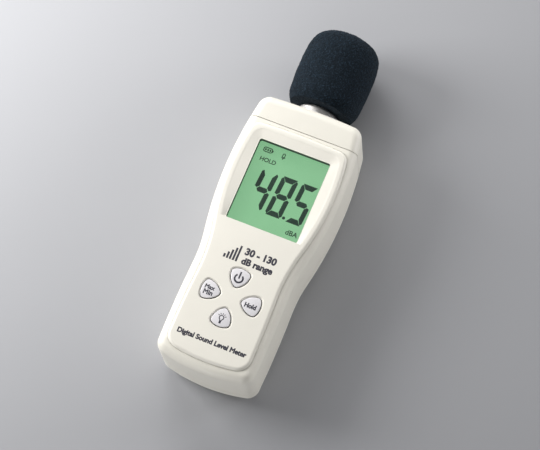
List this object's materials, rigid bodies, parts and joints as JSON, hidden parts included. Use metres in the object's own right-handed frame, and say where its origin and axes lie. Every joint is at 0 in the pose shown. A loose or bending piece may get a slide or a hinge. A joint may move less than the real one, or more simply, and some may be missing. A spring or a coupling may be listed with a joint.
{
  "type": "sound level meter",
  "caption": "Pocket sound level meter: waisted ivory case with lit display, cross of rounded triangular keys, foam windscreen on a tubular microphone, battery bay under a hooked door.",
  "frame": {"origin": "on the plane that the back lies on, under the middle of the whole object", "axes": "+X across the case to the right of the display, +Y along the case towards the microphone, +Z out of the front face"},
  "size_m": [0.052, 0.1657, 0.0344],
  "materials": {
    "case_plastic": "fine spark texture, ivory",
    "panel_plastic": "satin, ivory",
    "key_plastic": "semi-gloss, pale grey",
    "black_plastic": "matt black",
    "white_plastic": "matt white",
    "window_plastic": "clear acrylic",
    "display": "lit green",
    "light_guide": "frosted acrylic",
    "board": "green solder mask",
    "chip_plastic": "moulded epoxy",
    "can_metal": "drawn can",
    "trimmer_plastic": "blue moulding",
    "silicone": "translucent grey silicone",
    "dark_rubber": "matt",
    "cell_jacket": "printed jacket, plain",
    "spring_steel": "nickel plated",
    "mic_metal": "satin nickel",
    "foam": "open-cell foam",
    "screw_steel": "zinc plated",
    "wire_red": "insulation",
    "wire_black": "insulation",
    "wire_grey": "screened lead jacket",
    "label": "satin foil, blank"
  },
  "bodies": {
    "root": {"front_housing": "case_plastic", "rear_cover": "case_plastic", "head_cap": "case_plastic", "front_panel": "panel_plastic", "window_gasket": "dark_rubber", "display_window": "window_plastic", "display_glass": "display", "display_frame": "black_plastic", "light_guide": "light_guide", "backlight_lamp": "white_plastic", "connector_strip": "silicone", "circuit_board": "board", "chips": "chip_plastic", "capacitors": "can_metal", "crystal": "can_metal", "trimmer": "trimmer_plastic", "key_mat": "silicone", "battery_1": "cell_jacket", "battery_2": "cell_jacket", "battery_3": "cell_jacket", "battery_springs": "spring_steel", "battery_contacts": "spring_steel", "battery_lead_red": "wire_red", "battery_lead_black": "wire_black", "mic_tube": "mic_metal", "mic_collar": "white_plastic", "mic_capsule": "can_metal", "capsule_holder": "dark_rubber", "mic_grille": "mic_metal", "mic_lead": "wire_grey", "case_screws": "screw_steel", "board_screws": "screw_steel", "rating_label": "label"},
    "key_power": {"key_power": "key_plastic"},
    "key_max_min": {"key_max_min": "key_plastic"},
    "key_light": {"key_light": "key_plastic"},
    "key_hold": {"key_hold": "key_plastic"},
    "battery_door": {"battery_door": "case_plastic"},
    "windscreen": {"windscreen": "foam"}
  },
  "joints": [
    {"name": "key_power_press", "type": "slide", "parent": "root", "child": "key_power", "axis": [0, 0, -1], "range_m": [0, 0.0008], "stiffness_N_per_m": 1200, "deforming": ["key_mat"]},
    {"name": "key_max_min_press", "type": "slide", "parent": "root", "child": "key_max_min", "axis": [0, 0, -1], "range_m": [0, 0.0008], "stiffness_N_per_m": 1200, "deforming": ["key_mat"]},
    {"name": "key_light_press", "type": "slide", "parent": "root", "child": "key_light", "axis": [0, 0, -1], "range_m": [0, 0.0008], "stiffness_N_per_m": 1200, "deforming": ["key_mat"]},
    {"name": "key_hold_press", "type": "slide", "parent": "root", "child": "key_hold", "axis": [0, 0, -1], "range_m": [0, 0.0008], "stiffness_N_per_m": 1200, "deforming": ["key_mat"]},
    {"name": "battery_door_swing", "type": "hinge", "parent": "root", "child": "battery_door", "pos_m": [0, -0.0732, 0], "axis": [-1, 0, 0], "range_deg": [0, 50]},
    {"name": "windscreen_pull", "type": "slide", "parent": "root", "child": "windscreen", "axis": [0, 1, 0], "range_m": [0, 0.032]}
  ]
}
